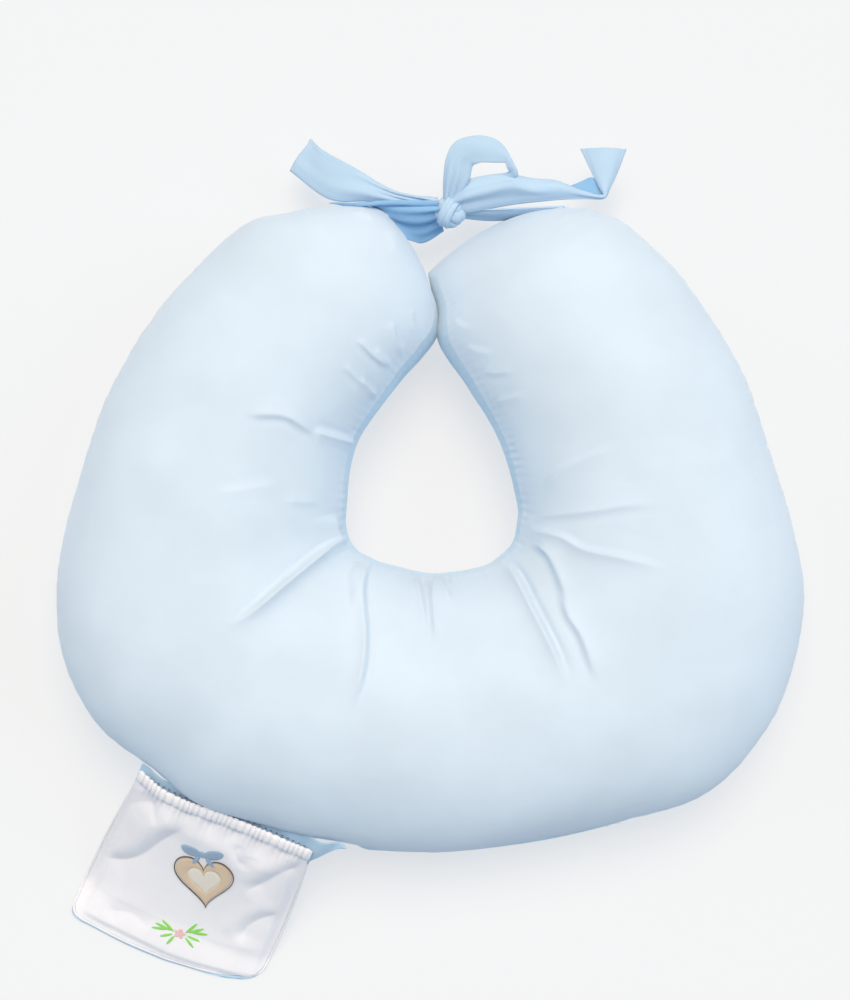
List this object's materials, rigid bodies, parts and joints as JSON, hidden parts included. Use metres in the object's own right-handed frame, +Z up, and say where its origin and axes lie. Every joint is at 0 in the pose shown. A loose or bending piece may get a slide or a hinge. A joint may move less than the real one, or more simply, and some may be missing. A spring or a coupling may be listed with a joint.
{
  "type": "nursing pillow",
  "caption": "Horseshoe nursing pillow with a removable zipped cover, tied arms and a small elasticated pouch.",
  "frame": {"origin": "centre of the bounding box at the surface that the pillow lies on", "axes": "+Z up out of the pillow's flat underside, +Y from the base towards the tied arms, +X to the right"},
  "size_m": [0.598, 0.6696, 0.1491],
  "materials": {
    "cover_cotton": "plain weave",
    "casing_cotton": "plain weave",
    "polyester_fibre": "loose fibre",
    "zip_tape": "woven tape",
    "zip_plastic": "satin",
    "pouch_white": "plain weave",
    "pouch_blue": "plain weave",
    "elastic": "ribbed",
    "thread_tan": "satin stitch",
    "thread_cream": "satin stitch",
    "thread_brown": "satin stitch",
    "thread_slate": "satin stitch",
    "thread_green": "satin stitch",
    "thread_pink": "satin stitch"
  },
  "bodies": {
    "pillow": {"fibre_filling": "polyester_fibre", "casing_top_panel": "casing_cotton", "casing_bottom_panel": "casing_cotton", "cover_top_panel": "cover_cotton", "cover_bottom_panel": "cover_cotton", "zip_tape_upper": "zip_tape", "zip_tape_lower": "zip_tape", "zip_teeth_upper": "zip_plastic", "zip_teeth_lower": "zip_plastic", "zip_bottom_stop": "zip_plastic", "zip_top_stop": "zip_plastic", "tie_knot": "cover_cotton", "left_tie_strap": "cover_cotton", "left_tie_tail": "cover_cotton", "right_tie_strap": "cover_cotton", "right_tie_loop": "cover_cotton", "right_tie_tail": "cover_cotton"},
    "pouch": {"pouch_back_panel": "pouch_blue", "pouch_front_panel": "pouch_white", "pouch_edge_binding": "pouch_white", "pouch_mouth_band": "pouch_white", "pouch_elastic": "elastic", "motif_heart": "thread_tan", "motif_heart_centre": "thread_cream", "motif_outline": "thread_brown", "motif_bow": "thread_slate", "motif_sprigs": "thread_green", "motif_flower": "thread_pink"},
    "slider": {"zip_slider": "zip_plastic"},
    "pull": {"zip_pull": "zip_plastic"}
  },
  "joints": [
    {"name": "pouch_swing", "type": "hinge", "parent": "pillow", "child": "pouch", "pos_m": [-0.1671, -0.21318, 0.07], "axis": [-0.9141, 0.4055, 0], "range_deg": [0, 100]},
    {"name": "zip_slider_travel", "type": "hinge", "parent": "pillow", "child": "slider", "pos_m": [-0.01, 0.336, 0.046], "axis": [0, 0, 1], "range_deg": [-19, 0]},
    {"name": "zip_pull_swing", "type": "hinge", "parent": "slider", "child": "pull", "pos_m": [0.14801, -0.21505, 0.046], "axis": [-0.9613, -0.2756, 0], "range_deg": [0, 160]}
  ]
}
